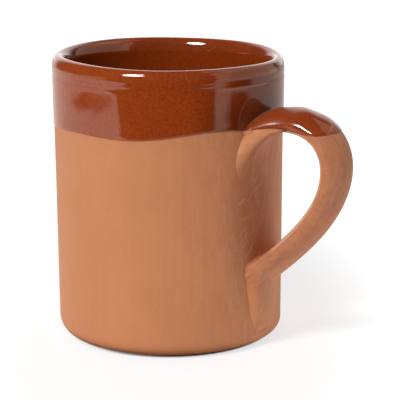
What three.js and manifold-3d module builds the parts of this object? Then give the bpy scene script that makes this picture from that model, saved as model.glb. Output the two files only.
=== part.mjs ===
// A wheel-thrown terracotta mug with a pulled strap handle, dipped rim down into brown glaze.
// The clay cup and handle, the wiped clay that joins them and the coats of glaze are separate solids.
// Millimetres, +Z up, handle on +X, origin at the centre of the flat foot.
import * as THREE from "three";
import { mergeVertices } from "three/addons/utils/BufferGeometryUtils.js";
import Module from "manifold-3d";

const wasm = await Module();
wasm.setup();

// Cup: the height, rim and lip are measured over the glaze.
const cupHeight = 97;
const rimDiameter = 79;
const footDiameter = 76.8;
const lipWall = 4.8;
const lowWall = 5.2;
const floorThickness = 6.5;
const footRound = 5.6;
const insideRound = 9;
const lipBead = 0.15; // the lip stands this far proud of the neck under it
const neckDepth = 5.5; // from the rim down to the neck

// Glaze: the cup is dipped rim down, so the line of the dip is measured from the rim.
const glazeThickness = 0.3;
const dipDepth = 22.4;
const dipTilt = 1.2; // the line lies this much higher on one side
const dipTiltTowards = -35; // degrees round from the handle
const dipRipple = 0.7;
const dipRipples = 3;
const handleDipDepth = 21.4;

// Handle: the centre line of the strap leaves the wall, bends over and comes back lower down.
const upperRootDepth = 19.4; // from the rim
const lowerRootHeight = 26.8; // from the foot
const handleStandoff = 25.8; // from the rim's radius to the strap's centre line at the bend
const bendDepth = 33; // from the rim to where the strap points straight down
const shoulderRise = 11; // degrees above level at the upper root
const shoulderArm = 23.4; // how far the strap keeps that direction
const bendArm = 5.4;
const backArm = 14.9;
const tailRise = 40; // degrees above level at the lower root
const tailArm = 14.1;
const strapWidth = 16;
const upperRootWidth = 24;
const lowerRootWidth = 24.4;
const upperFlare = 18; // length of strap over which the root widens
const lowerFlare = 22;
const upperThickness = 7.8;
const lowerThickness = 8;
const strapSquareness = 2.5; // power of the rounded section, 2 being an ellipse

// Wiped clay round the roots: a pad under the strap's end that runs out into a fillet.
const slipThickness = 0.8;
const slipEdge = 0.4;
const creaseWidth = 1.6; // fillet above a root
const creaseClimb = 1.2; // how far that fillet climbs the strap
const webLength = 15; // below the upper root
const webSpread = 5.4;
const webDrop = 13;
const webClimb = 8;
const tailEnd = 5; // height of the tail's tip above the foot
const tailSpread = 0.8;
const tailClimb = 3.2;

// Clearances
const bond = 0.1; // between a coat of glaze and what it covers
const seat = 0.3; // between pieces that are cut to each other

// Facets
const turnFacets = 48;
const arcSteps = 3;
const strapRings = 30;
const strapSides = 18;
const slipSides = 36;
const slipRings = 4;

const clay = { color: "#c58660", roughness: 0.85, metalness: 0 };
const glaze = { color: "#7c3315", roughness: 0.12, metalness: 0 };

const degrees = THREE.MathUtils.degToRad;
const lerp = THREE.MathUtils.lerp;

// Clay surface of the cup, under the glaze
const coat = bond + glazeThickness;
const rimRadius = rimDiameter / 2;
const footRadius = footDiameter / 2;
const neckHeight = cupHeight - neckDepth;
const neckRadius = rimRadius - coat - lipBead;
const lipHeight = cupHeight - lipWall / 2;
const lipCentre = rimRadius - lipWall / 2;
const lipRadius = lipWall / 2 - coat;
const cornerRadius = insideRound + coat;
const cornerHeight = floorThickness + insideRound;
const cornerCentre = footRadius - lowWall - insideRound;

// Outer radius of the clay wall: a straight taper to the neck, then out to the lip.
function wallRadius(z) {
  if (z < neckHeight) {
    return lerp(footRadius, neckRadius, (z - footRound) / (neckHeight - footRound));
  }
  return lerp(neckRadius, lipCentre + lipRadius, (z - neckHeight) / (lipHeight - neckHeight));
}

// Height of the lower edge of the glaze at an angle round from the handle.
function dipLine(angle) {
  const turned = angle - degrees(dipTiltTowards);
  return cupHeight - dipDepth + dipTilt * Math.cos(turned) + dipRipple * Math.cos(dipRipples * turned);
}

// A profile of radius against height, turned about +Z.
function turn(points) {
  return new THREE.LatheGeometry(points, turnFacets).rotateX(Math.PI / 2);
}

// Inside of the cup from the crown of the lip to the centre of the floor, offset into the hollow.
function insidePath(path, offset) {
  path.absarc(lipCentre, lipHeight, lipRadius + offset, Math.PI / 2, Math.PI, false);
  path.absarc(cornerCentre, cornerHeight, cornerRadius - offset, 0, -Math.PI / 2, true);
  return path;
}

// A closed mesh through rings of points, with a fan to a middle point at each end.
function loft(rings, first, last) {
  const sides = rings[0].length;
  const points = [first, ...rings.flat(), last];
  const faces = [];
  const at = (ring, side) => 1 + ring * sides + (side % sides);
  for (let side = 0; side < sides; side++) {
    faces.push(0, at(0, side + 1), at(0, side));
    for (let ring = 0; ring + 1 < rings.length; ring++) {
      faces.push(at(ring, side), at(ring + 1, side + 1), at(ring + 1, side));
      faces.push(at(ring, side), at(ring, side + 1), at(ring + 1, side + 1));
    }
    faces.push(points.length - 1, at(rings.length - 1, side), at(rings.length - 1, side + 1));
  }
  const geometry = new THREE.BufferGeometry().setFromPoints(points);
  geometry.setIndex(faces);
  return geometry;
}

// Geometry to a solid for joining and cutting, and back.
function solid(geometry) {
  const bare = geometry.clone();
  bare.deleteAttribute("normal");
  bare.deleteAttribute("uv");
  const merged = mergeVertices(bare);
  return new wasm.Manifold(
    new wasm.Mesh({
      numProp: 3,
      vertProperties: merged.attributes.position.array,
      triVerts: new Uint32Array(merged.index.array),
    }),
  );
}

function geometryOf(body) {
  const mesh = body.getMesh();
  const geometry = new THREE.BufferGeometry();
  geometry.setAttribute("position", new THREE.BufferAttribute(mesh.vertProperties, 3));
  geometry.setIndex(new THREE.BufferAttribute(mesh.triVerts, 1));
  geometry.computeVertexNormals();
  return geometry;
}

// Everything inside the outer wall, grown by an offset: cuts a piece to the curve of the cup.
function insideWall(offset) {
  const outline = [
    new THREE.Vector2(0, 0),
    new THREE.Vector2(wallRadius(0) + offset, 0),
    new THREE.Vector2(neckRadius + offset, neckHeight),
    new THREE.Vector2(lipCentre + lipRadius + offset, cupHeight),
    new THREE.Vector2(0, cupHeight),
  ];
  return solid(turn(outline));
}

// Thrown cup: flat foot with a rounded edge, tapering wall, round lip, and a rounded inside corner.
function cupGeometry() {
  const profile = new THREE.Path();
  profile.moveTo(0, 0);
  profile.lineTo(footRadius - footRound, 0);
  profile.absarc(footRadius - footRound, footRound, footRound, -Math.PI / 2, 0, false);
  profile.lineTo(neckRadius, neckHeight);
  profile.absarc(lipCentre, lipHeight, lipRadius, 0, Math.PI / 2, false);
  insidePath(profile, 0);
  profile.lineTo(0, floorThickness - coat);
  return turn(profile.getPoints(arcSteps));
}

// Poured lining: a coat over the whole inside, up to the crown of the lip.
function liningGeometry() {
  const face = insidePath(new THREE.Path(), coat);
  face.lineTo(0, floorThickness);
  const back = insidePath(new THREE.Path(), bond);
  back.lineTo(0, floorThickness - coat + bond);
  const outline = [...face.getPoints(arcSteps), ...back.getPoints(arcSteps).reverse()];
  outline.push(outline[0].clone());
  return turn(outline);
}

// Dipped band: a coat over the outside from the crown of the lip down to the wavy line of the dip.
function bandGeometry() {
  const low = cupHeight - dipDepth;
  const side = (offset) => {
    const path = new THREE.Path();
    const crown = Math.PI / 2 - bond / (lipRadius + offset);
    path.moveTo(wallRadius(low) + offset, low);
    path.lineTo(neckRadius + offset, neckHeight);
    path.absarc(lipCentre, lipHeight, lipRadius + offset, 0, crown, false);
    return path.getPoints(arcSteps);
  };
  const outline = [...side(coat), ...side(bond).reverse()];
  outline.push(outline[0].clone());
  const geometry = turn(outline);
  const places = geometry.attributes.position;
  const place = new THREE.Vector3();
  for (let i = 0; i < places.count; i++) {
    place.fromBufferAttribute(places, i);
    if (Math.abs(place.z - low) > bond) continue;
    const radius = Math.hypot(place.x, place.y);
    const height = dipLine(Math.atan2(place.y, place.x));
    const grown = (radius + wallRadius(height) - wallRadius(low)) / radius;
    places.setXYZ(i, place.x * grown, place.y * grown, height);
  }
  return geometry;
}

// Centre line of the strap, with a straight run inside the wall at each end for the cut.
function strapLine() {
  const upperZ = cupHeight - upperRootDepth;
  const bendZ = cupHeight - bendDepth;
  const point = (x, z) => new THREE.Vector3(x, 0, z);
  const ray = (angle, length) => point(Math.cos(angle) * length, Math.sin(angle) * length);
  const upper = point(wallRadius(upperZ), upperZ);
  const lower = point(wallRadius(lowerRootHeight), lowerRootHeight);
  const bend = point(rimRadius + handleStandoff, bendZ);
  const shoulder = degrees(shoulderRise);
  const tail = degrees(tailRise);
  const upperInset = upperThickness;
  const lowerInset = lowerThickness;
  const line = new THREE.CurvePath();
  line.add(new THREE.LineCurve3(upper.clone().sub(ray(shoulder, upperInset)), upper));
  line.add(
    new THREE.CubicBezierCurve3(
      upper,
      upper.clone().add(ray(shoulder, shoulderArm)),
      bend.clone().add(point(0, bendArm)),
      bend,
    ),
  );
  line.add(
    new THREE.CubicBezierCurve3(
      bend,
      bend.clone().sub(point(0, backArm)),
      lower.clone().add(ray(tail, tailArm)),
      lower,
    ),
  );
  line.add(new THREE.LineCurve3(lower, lower.clone().sub(ray(tail, lowerInset))));
  return { line, upperInset, lowerInset };
}

// Share of the extra root width that is left at a distance from the root.
function flare(distance, length) {
  const share = THREE.MathUtils.clamp(1 - distance / length, 0, 1);
  return share * share;
}

// The strap: a rounded section carried along its line, wide at both roots.
function strapGeometry(grow) {
  const { line, upperInset, lowerInset } = strapLine();
  const length = line.getLength();
  const free = length - upperInset - lowerInset;
  const power = 2 / strapSquareness;
  const bulge = (value) => Math.sign(value) * Math.abs(value) ** power;
  const rings = [];
  for (let step = 0; step <= strapRings; step++) {
    const share = step / strapRings;
    const centre = line.getPointAt(share);
    const along = line.getTangentAt(share);
    const out = new THREE.Vector3(-along.z, 0, along.x);
    const fromUpper = THREE.MathUtils.clamp(share * length - upperInset, 0, free);
    const fromLower = free - fromUpper;
    const width =
      strapWidth +
      (upperRootWidth - strapWidth) * flare(fromUpper, upperFlare) +
      (lowerRootWidth - strapWidth) * flare(fromLower, lowerFlare);
    const thickness = lerp(upperThickness, lowerThickness, fromUpper / free);
    const ring = [];
    for (let side = 0; side < strapSides; side++) {
      const angle = (side / strapSides) * 2 * Math.PI;
      const point = centre.clone().addScaledVector(out, bulge(Math.sin(angle)) * (thickness / 2 + grow));
      point.y += bulge(Math.cos(angle)) * (width / 2 + grow);
      ring.push(point);
    }
    rings.push(ring);
  }
  return loft(rings, line.getPointAt(0), line.getPointAt(1));
}

const upperRoot = {
  height: cupHeight - upperRootDepth,
  halfWidth: upperRootWidth / 2,
  halfHeight: upperThickness / 2 / Math.cos(degrees(shoulderRise)),
  below: webLength,
  spread: webSpread,
  drop: webDrop,
  climb: webClimb,
};
const lowerHalfHeight = lowerThickness / 2 / Math.cos(degrees(tailRise));
const lowerRoot = {
  height: lowerRootHeight,
  halfWidth: lowerRootWidth / 2,
  halfHeight: lowerHalfHeight,
  below: lowerRootHeight - lowerHalfHeight - tailEnd,
  spread: tailSpread,
  drop: 0,
  climb: tailClimb,
};

// Wiped clay round a root: laid on the wall, it rises from a thin outer edge to the side of the strap.
function slipGeometry(root, grow) {
  const place = (across, z, lift) => {
    const radius = wallRadius(z);
    const angle = across / radius;
    const reach = radius + lift;
    return new THREE.Vector3(reach * Math.cos(angle), reach * Math.sin(angle), z);
  };
  // A point between the strap's outline, at share 0, and the outer edge, at share 1.
  const spot = (angle, share) => {
    const side = Math.cos(angle);
    const up = Math.sin(angle);
    const beyond = up > 0 ? creaseWidth : root.below;
    const sag = (root.drop * side * side * (1 - up)) / 2;
    return {
      across: side * (root.halfWidth + grow + share * root.spread),
      z: root.height + up * (root.halfHeight + grow + share * beyond) - share * sag,
    };
  };
  const back = seat - grow;
  const face = seat + slipEdge + grow;
  const ring = (make) =>
    Array.from({ length: slipSides }, (_, side) => make((side / slipSides) * 2 * Math.PI));
  const rings = [];
  for (let step = 1; step <= slipRings; step++) {
    const part = step / slipRings;
    rings.push(
      ring((angle) => {
        const { across, z } = spot(angle, 1);
        return place(across * part, lerp(root.height, z, part), back);
      }),
    );
  }
  for (let step = 0; step <= slipRings; step++) {
    const share = 1 - step / slipRings;
    rings.push(
      ring((angle) => {
        const { across, z } = spot(angle, share);
        const climb = lerp(root.climb, creaseClimb, (1 + Math.sin(angle)) / 2);
        const rise = 1 - Math.sqrt(1 - (1 - share) ** 2);
        return place(across, z, face + climb * rise);
      }),
    );
  }
  return loft(rings, place(0, root.height, back), place(0, root.height, face + creaseClimb));
}

function handleGeometry() {
  return geometryOf(solid(strapGeometry(0)).subtract(insideWall(seat + slipThickness + seat)));
}

function rootSlipGeometry(root) {
  const strap = solid(strapGeometry(seat)).subtract(insideWall(seat + slipThickness));
  return geometryOf(solid(slipGeometry(root, 0)).subtract(strap));
}

// The handle and its upper root, grown: the shape that the glaze on the handle follows.
function handleForm(grow) {
  return solid(strapGeometry(grow)).add(solid(slipGeometry(upperRoot, grow)));
}

function cutBandGeometry() {
  return geometryOf(solid(bandGeometry()).subtract(handleForm(coat + seat)));
}

// Glaze on the handle: a coat over what the dip reached of it.
function handleGlazeGeometry() {
  const line = cupHeight - handleDipDepth;
  const reach = rimDiameter + handleStandoff;
  const dipped = new THREE.BoxGeometry(2 * reach, 2 * reach, cupHeight);
  dipped.translate(0, 0, line + cupHeight / 2);
  const skin = handleForm(coat).subtract(handleForm(bond)).subtract(insideWall(seat + bond));
  return geometryOf(skin.intersect(solid(dipped)));
}

const mug = new THREE.Group();
function addPiece(name, geometry, finish) {
  const piece = new THREE.Mesh(geometry, new THREE.MeshStandardMaterial(finish));
  piece.name = name;
  mug.add(piece);
}

addPiece("thrown_cup", cupGeometry(), clay);
addPiece("pulled_handle", handleGeometry(), clay);
addPiece("upper_root_slip", rootSlipGeometry(upperRoot), clay);
addPiece("lower_root_slip", rootSlipGeometry(lowerRoot), clay);
addPiece("glaze_lining", liningGeometry(), glaze);
addPiece("glaze_band", cutBandGeometry(), glaze);
addPiece("handle_glaze", handleGlazeGeometry(), glaze);

export default mug;
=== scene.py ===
"""Looks of a terracotta mug, half dipped in brown glaze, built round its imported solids.

Shapes are worked out in millimetres, +Z up, handle on +X, and put into meshes in metres.
"""

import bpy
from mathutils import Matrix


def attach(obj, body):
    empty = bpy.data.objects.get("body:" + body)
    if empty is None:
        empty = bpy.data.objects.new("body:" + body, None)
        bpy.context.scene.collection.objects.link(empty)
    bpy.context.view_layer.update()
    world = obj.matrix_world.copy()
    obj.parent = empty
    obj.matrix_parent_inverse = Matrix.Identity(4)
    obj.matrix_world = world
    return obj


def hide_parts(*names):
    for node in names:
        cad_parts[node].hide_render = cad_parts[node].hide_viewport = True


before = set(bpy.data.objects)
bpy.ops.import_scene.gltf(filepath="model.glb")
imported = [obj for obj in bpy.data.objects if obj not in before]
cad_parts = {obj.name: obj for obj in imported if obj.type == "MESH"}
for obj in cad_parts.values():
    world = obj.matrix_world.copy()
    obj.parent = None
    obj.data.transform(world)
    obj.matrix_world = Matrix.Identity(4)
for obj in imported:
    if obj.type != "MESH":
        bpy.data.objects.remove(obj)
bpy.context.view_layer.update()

import math

import bpy
import numpy as np
from mathutils import Matrix

MM = 0.001  # metres

# Clay cup. Each wave round it is a count, a height and a phase in degrees
CUP_HEIGHT = 97.0  # over the glaze
FOOT_RADIUS = 38.4
FOOT_ROUND = 5.2
FOOT_ROUND_WAVES = ((1, -1.0, 20),)  # tighter on the handle's side
FOOT_CUT = (0.6, 0.40)  # inwards and up: the trimmed edge under the round, a dark line
FOOT_CUT_WAVES = ((1, 0.38, -5),)  # highest on the handle's side
WALL_FLARE = 0.0088  # outwards for each millimetre up
RIM_DROP = 0.2  # the rim is a little low and not quite level
RIM_WAVES = ((1, 0.42, -132), (2, 0.08, -178), (4, 0.14, -92))
LIP_OUTSIDE = (2.1, 4.0)  # across and down
LIP_INSIDE = (2.4, 5.0)
NECK_HEIGHT = 90.6  # a fine groove under the lip
NECK_GROOVE = 0.07
NECK_REACH = 0.75
OVAL = 0.10  # out of round, from lifting the wet cup
OVAL_PHASE = 0.9  # radians
RIPPLE = 0.006  # soft throwing rings left in the wall
RIPPLE_PITCH = 17.0
INSIDE_FOOT_RADIUS = 33.5
INSIDE_ROUND = 9.3
FLOOR_HEIGHT = 6.2

# Glaze on the cup
GLAZE = 0.3
GLAZE_EDGE = 0.45  # height over which its lower edge rounds off
GLAZE_ROLL = 0.015  # extra just above that edge, where the wet glaze gathered
GLAZE_ROLL_HEIGHT = 1.1
GLAZE_ROLL_REACH = 1.0
BURIED = 0.15  # back of the coat, inside the clay
DIP_HEIGHT = 74.5
DIP_WAVES = ((1, 0.48, -4), (2, 0.47, -80), (3, 0.33, -129), (4, 0.32, -132), (5, 0.57, -163))
COAT_EDGE_SHARE = 0.06  # lowest share of the glazed wall, where the rows lie closer

# Glaze on the handle
HANDLE_DIP = 76.15
HANDLE_DIP_WAVE = 0.65
HANDLE_DIP_CREST = 46.5  # distance from the axis where the edge lies highest
HANDLE_DIP_LENGTH = 27.0
HANDLE_COAT_END = 42.0  # length along the strap, well below the glaze
POOLED = 0.11  # how unevenly the glaze pooled
POOLED_TURNS = (0.62, 0.45)  # radians for each millimetre along x and y
POOLED_SWAY = 1.3  # radians
POOLED_RISE = 2.0  # height above the edge over which it sets in
DIVE = 0.4  # slope with which the coat goes under the clay below its edge
DIVE_HEIGHT = 0.3
KEPT_BELOW = 0.35  # height below the edge down to which the coat goes on
RUN_IN_ROWS = 7  # rows next to the wall over which the coat comes up out of the clay
RUN_IN_DEPTH = 0.12

# Handle: centre line, section and roots
UPPER_ROOT = 77.6
LOWER_ROOT = 26.8
REACH = 65.3  # from the axis to the centre line at the bend
BEND_HEIGHT = 64.0
SHOULDER = (11.0, 23.4)  # degrees above level, and how far the strap keeps that direction
BEND_ARM = 5.4  # how far the bend stays upright above its middle, and below
BACK_ARM = 14.9
TAIL = (40.2, 14.1)  # as the shoulder, at the lower root
LEAD = 12.0  # straight run inside the wall
STRAP_WIDTH = 16.0
UPPER_WIDTH = 24.0  # at the roots
LOWER_WIDTH = 21.6
UPPER_FLARE = 10.0  # lengths over which the strap widens to them
LOWER_FLARE = 22.0
STRAP_THICKNESS = (8.0, 7.4, 7.5, 7.9, 8.0)  # from the upper root to the lower
SECTION = {"inner": -0.86, "outer": 0.32, "dome": 0.82}  # shares of half the thickness
SECTION_POWER = 4.5  # how square the strap's edges are
UPPER_DROP = 0.5  # what its outer side loses at the upper root, as such a share
UPPER_DROP_LENGTH = 18.0
HIGHLIGHT_EDGES = (math.pi + 0.51, 2 * math.pi - 0.51)  # turns round the section: edges of its finger side, where a highlight is painted
HIGHLIGHT_WIDTH = 0.15
ANCHOR = -2.5  # the strap's ends, below the wall's face
UNROLL = 39.0  # radius for lengths measured round the wall
ROOT_SEARCH = 26.0  # length of strap within which it leaves the wall
HALVINGS = 40
NUDGE = 0.05  # length over which the strap's direction is measured

# Wiped clay: a narrow fillet round each root. Its edge lies beyond the root by the crease above and by
# another length below, and on the far side it keeps a share of its thickness. Lists run from the crease
# round the side to the middle below: how far off the wall it ends on the strap, how high its edge is, and
# by what share of the root's width it spreads
UPPER_SLIP = {
    "crease": 0.6, "below": 2.0, "far": 0.6,
    "lift": (0.5, 0.7, 1.4, 1.6, 1.4),
    "edge": (0.4, 0.5, 0.6, 0.5, 0.3),
    "spread": (0.10, 0.10, 0.08, 0.06, 0.06),
}
LOWER_SLIP = {
    "crease": 1.2, "below": 1.6, "far": 0.6,
    "lift": (0.8, 0.9, 1.2, 1.4, 1.4),
    "edge": (0.3, 0.4, 0.5, 0.5, 0.5),
    "spread": (0.06, 0.06, 0.04, 0.04, 0.04),
}
SLIP_DEPTH = 0.8  # its back, below the strap's face
SUNK = -0.06  # wiped clay runs out just under the wall's face
SUNK_SHARE = 0.12  # share of the fillet over which it does

# A pad drawn down the wall below each root: heights of both ends, half widths from low to high, thickness
# as powers of the share of the way up and what each adds, hollow in the middle, share of the thickness
# kept on the far side, how square the section is below and how much more above, and how much its top leans
UPPER_PAD = {
    "ends": (56.5, 76.4), "half": (13.4, 15.2, 15.9, 15.3, 13.6, 10.8),
    "thickness": ((1.4, 4.8), (4, 5.8), (16, 3.0)),
    "hollow": 5.0, "far": 0.12, "square": (2.0, 0.0), "lean": 0.0,
}
LOWER_PAD = {
    "ends": (5.9, 27.5), "half": (6.4, 7.7, 8.7, 9.5, 10.1, 10.6, 10.9, 9.9),
    "thickness": ((0.6, 4.9), (8, 3.8)),
    "hollow": 0.0, "far": 0.3, "square": (5.0, 4.0), "lean": 0.84,
}

# Points of the meshes: columns round each piece, and rows along each stretch of a surface
ROUND = 240
AROUND_STRAP = 96
AROUND_COAT = 144
ACROSS_PAD = 121
ROWS = {
    "foot": 9, "foot_round": 14, "wall": 112, "lip_outside": 16, "lip_inside": 26,
    "inside_wall": 44, "corner": 14, "floor": 14, "coat_edge": 9, "coat": 62,
    "strap_curve": 240, "strap": 190, "fillet": 30, "pad": 80, "handle_coat": 120,
}


# Shapes

BEARINGS = np.linspace(-math.pi, math.pi, ROUND, endpoint=False)[None, :]
TURNS = np.linspace(0, 2 * math.pi, AROUND_STRAP, endpoint=False)
NO_TRIANGLES = np.zeros((0, 3), int)


def wave_sum(angle, waves):
    """Sum of cosines of whole multiples of the angle, each with its height and phase in degrees."""
    return sum(high * np.cos(count * angle - math.radians(phase)) for count, high, phase in waves)


def wall_radius(z, angle):
    """Outer radius of the clay: a straight flare, less the neck's groove, plus oval and throwing rings."""
    straight = FOOT_RADIUS + WALL_FLARE * (z - FOOT_ROUND)
    groove = NECK_GROOVE * np.exp(-(((z - NECK_HEIGHT) / NECK_REACH) ** 2))
    oval = OVAL * np.cos(2 * angle + OVAL_PHASE) * z / CUP_HEIGHT
    rings = RIPPLE * np.sin(2 * math.pi * z / RIPPLE_PITCH + angle)
    return straight - groove + oval + rings


def dip_line(angle):
    """Height of the glaze's lower edge on the wall: a level line with a few gentle waves."""
    return DIP_HEIGHT + wave_sum(angle, DIP_WAVES)


def lip_height(angle):
    """Where the wall ends and the lip's round begins: a level line with the rim's small waves."""
    return CUP_HEIGHT - RIM_DROP - GLAZE - LIP_OUTSIDE[1] + wave_sum(angle, RIM_WAVES)


def arc(start, stop, steps):
    """Angles of an arc from start to stop in degrees, as a column."""
    return np.radians(np.linspace(start, stop, steps))[:, None]


def inside_profile(angle):
    """Radius and height over the lip and down the inside, from the lip's outer edge to the floor's centre.

    The lip is two quarters of ellipses, the wall a straight line and the corner a quarter of a circle.
    """
    outer = arc(0, 90, ROWS["lip_outside"])
    inner_round = arc(90, 180, ROWS["lip_inside"])[1:]
    down = np.linspace(0, 1, ROWS["inside_wall"])[1:, None]
    corner = arc(0, -90, ROWS["corner"])[1:]
    across = np.linspace(1, 0, ROWS["floor"])[1:-1, None]
    level = np.ones_like(angle)
    across_lip, down_lip = LIP_INSIDE
    low = lip_height(angle)
    crown = low + LIP_OUTSIDE[1]
    centre = wall_radius(low, angle) - LIP_OUTSIDE[0]
    inner = centre - across_lip
    inner_low = crown - down_lip
    corner_height = FLOOR_HEIGHT + INSIDE_ROUND
    corner_radius = INSIDE_FOOT_RADIUS - INSIDE_ROUND
    radius = np.concatenate([
        centre + LIP_OUTSIDE[0] * np.cos(outer),
        centre + across_lip * np.cos(inner_round),
        inner + (INSIDE_FOOT_RADIUS - inner) * down,
        (corner_radius + INSIDE_ROUND * np.cos(corner)) * level,
        corner_radius * across * level,
    ])
    height = np.concatenate([
        low + LIP_OUTSIDE[1] * np.sin(outer),
        inner_low + down_lip * np.sin(inner_round),
        inner_low + (corner_height - inner_low) * down,
        (corner_height + INSIDE_ROUND * np.sin(corner)) * level,
        FLOOR_HEIGHT * np.ones_like(across) * level,
    ])
    return radius, height


def cup_profile(angle):
    """The whole clay cup: out along the flat foot, round its trimmed edge, up the wall, over and inside."""
    flat = np.linspace(0, 1, ROWS["foot"])[1:, None]
    edge = arc(-90, 0, ROWS["foot_round"])
    up = np.linspace(0, 1, ROWS["wall"])[1:-1, None]
    level = np.ones_like(angle)
    cut_in = FOOT_CUT[0]
    cut_up = FOOT_CUT[1] + wave_sum(angle, FOOT_CUT_WAVES)
    foot_round = FOOT_ROUND + wave_sum(angle, FOOT_ROUND_WAVES)
    foot_top = cut_up + foot_round
    foot_wall = wall_radius(foot_top, angle)
    inner_edge = foot_wall - foot_round - cut_in
    rise = foot_top + (lip_height(angle) - foot_top) * up
    inside_radius, inside_height = inside_profile(angle)
    radius = np.concatenate([
        inner_edge * flat,
        inner_edge,
        foot_wall - foot_round + foot_round * np.cos(edge),
        wall_radius(rise, angle),
        inside_radius,
    ])
    height = np.concatenate([
        0 * flat * level,
        cut_up,
        foot_top + foot_round * np.sin(edge),
        rise,
        inside_height,
    ])
    return radius, height


def coat_profile(angle):
    """The clay that is glazed: from the dip line up the wall, over the lip and down the inside."""
    edge_share = np.linspace(0, COAT_EDGE_SHARE, ROWS["coat_edge"])[:-1]
    wall_share = np.linspace(COAT_EDGE_SHARE, 1, ROWS["coat"])[:-1]
    share = np.concatenate([edge_share, wall_share])[:, None]
    low = dip_line(angle)
    rise = low + (lip_height(angle) - low) * share
    inside_radius, inside_height = inside_profile(angle)
    radius = np.concatenate([wall_radius(rise, angle), inside_radius])
    height = np.concatenate([rise, inside_height])
    return radius, height


def grid_quads(rows, columns, wrap_rows=False):
    """Quads between neighbours of a grid of points whose columns close on themselves."""
    row = np.arange(rows if wrap_rows else rows - 1)[:, None]
    column = np.arange(columns)[None, :]
    next_row = (row + 1) % rows
    next_column = (column + 1) % columns
    corners = (row * columns + column, row * columns + next_column,
               next_row * columns + next_column, next_row * columns + column)
    return np.stack(corners, -1).reshape(-1, 4)


def ring_fan(ring, pole):
    """Triangles from a closed ring of point numbers to one pole."""
    return np.stack([ring, np.roll(ring, -1), np.full_like(ring, pole)], -1)


def capped(rings, poles):
    """Points and faces of a tube of rings, closed by a fan to a pole at each end."""
    rows, columns = rings.shape[:2]
    count = rows * columns
    points = np.concatenate([rings.reshape(-1, 3), poles])
    first = ring_fan(np.arange(columns)[::-1], count)
    last = ring_fan(np.arange(count - columns, count), count + 1)
    return points, grid_quads(rows, columns), np.concatenate([first, last])


def turned_body(radius, height, first_pole, last_pole):
    """A profile turned round the axis, closed by a pole on the axis at each end."""
    rings = np.stack([radius * np.cos(BEARINGS), radius * np.sin(BEARINGS), height], -1)
    return capped(rings, [[0, 0, first_pole], [0, 0, last_pole]])


def volume(points, quads, triangles):
    """Signed volume inside the faces, so that a mesh can be turned to face outwards."""
    halves = np.concatenate([quads[:, [0, 1, 2]], quads[:, [0, 2, 3]], triangles])
    a, b, c = (points[halves[:, i]] for i in range(3))
    return np.einsum("ij,ij->", a, np.cross(b, c)) / 6


def joined(*shapes):
    """Closed shells in one mesh, each turned to face outwards."""
    count, points, quads, triangles = 0, [], [], []
    for shape in shapes:
        way = 1 if volume(*shape) > 0 else -1
        points.append(shape[0])
        quads.append(shape[1][:, ::way] + count)
        triangles.append(shape[2][:, ::way] + count)
        count += len(shape[0])
    return np.concatenate(points), np.concatenate(quads), np.concatenate(triangles)


def make_piece(name, shape, material, stands_for):
    """A smooth mesh piece from points in millimetres, riding on the mug in place of its CAD nodes."""
    points, quads, triangles = joined(shape)
    mesh = bpy.data.meshes.new(name)
    mesh.from_pydata((points * MM).tolist(), [], quads.tolist() + triangles.tolist())
    mesh.polygons.foreach_set("use_smooth", np.ones(len(mesh.polygons), bool))
    mesh.materials.append(material)
    piece = bpy.data.objects.new(name, mesh)
    bpy.context.scene.collection.objects.link(piece)
    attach(piece, "root")
    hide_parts(*stands_for)
    return piece


def clay_cup():
    """The turned clay cup."""
    radius, height = cup_profile(BEARINGS)
    return turned_body(radius, height, 0.0, FLOOR_HEIGHT)


def glaze_thickness(above):
    """Thickness of a coat above its lower edge: rounds up from nothing, swells a little, then evens out."""
    edge = np.sqrt(1 - (1 - np.clip(above / GLAZE_EDGE, 0, 1)) ** 2)
    roll_place = (above - GLAZE_ROLL_HEIGHT) / GLAZE_ROLL_REACH
    return edge * (GLAZE + GLAZE_ROLL * np.exp(-(roll_place ** 2)))


def cup_glaze():
    """One coat from the dip line over the lip to the floor.

    Its face is the clay's profile moved out along its normal by the coat's thickness at that length above
    the dip line, and its back is the same profile moved into the clay.
    """
    radius, height = coat_profile(BEARINGS)
    along_r, along_z = np.gradient(radius, axis=0), np.gradient(height, axis=0)
    length = np.hypot(along_r, along_z)
    out_r, out_z = along_z / length, -along_r / length
    step_r = np.diff(radius, axis=0, prepend=radius[:1])
    step_z = np.diff(height, axis=0, prepend=height[:1])
    thick = glaze_thickness(np.cumsum(np.hypot(step_r, step_z), axis=0))
    face = radius + thick * out_r, height + thick * out_z
    back = radius - BURIED * out_r, height - BURIED * out_z
    whole = [np.concatenate([b[::-1], f]) for b, f in zip(back, face)]
    return turned_body(*whole, FLOOR_HEIGHT - BURIED, FLOOR_HEIGHT + GLAZE)


def blend(low, high, share):
    """Smooth step from low to high."""
    return low + (high - low) * share * share * (3 - 2 * share)


def through(share, values):
    """Smooth steps through equally spaced values, at a share of the way from the first to the last."""
    values = np.asarray(values, float)
    place = np.clip(share, 0, 1) * (len(values) - 1)
    low = np.minimum(place.astype(int), len(values) - 2)
    return blend(values[low], values[low + 1], place - low)


def fading(distance, length):
    """Falls from 1 to 0 over a length, as the square of what is left of it."""
    return np.clip(1 - np.maximum(distance, 0) / length, 0, 1) ** 2


def bezier(a, b, c, d):
    """Points of a cubic curve from a to d, pulled towards b and c."""
    t = np.linspace(0, 1, ROWS["strap_curve"])[:, None]
    return (1 - t) ** 3 * a + 3 * (1 - t) ** 2 * t * b + 3 * (1 - t) * t ** 2 * c + t ** 3 * d


def ray(direction):
    """A step in the handle's plane: an angle above level in degrees, and a length."""
    rise, length = direction
    return length * np.array([math.cos(math.radians(rise)), math.sin(math.radians(rise))])


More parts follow.
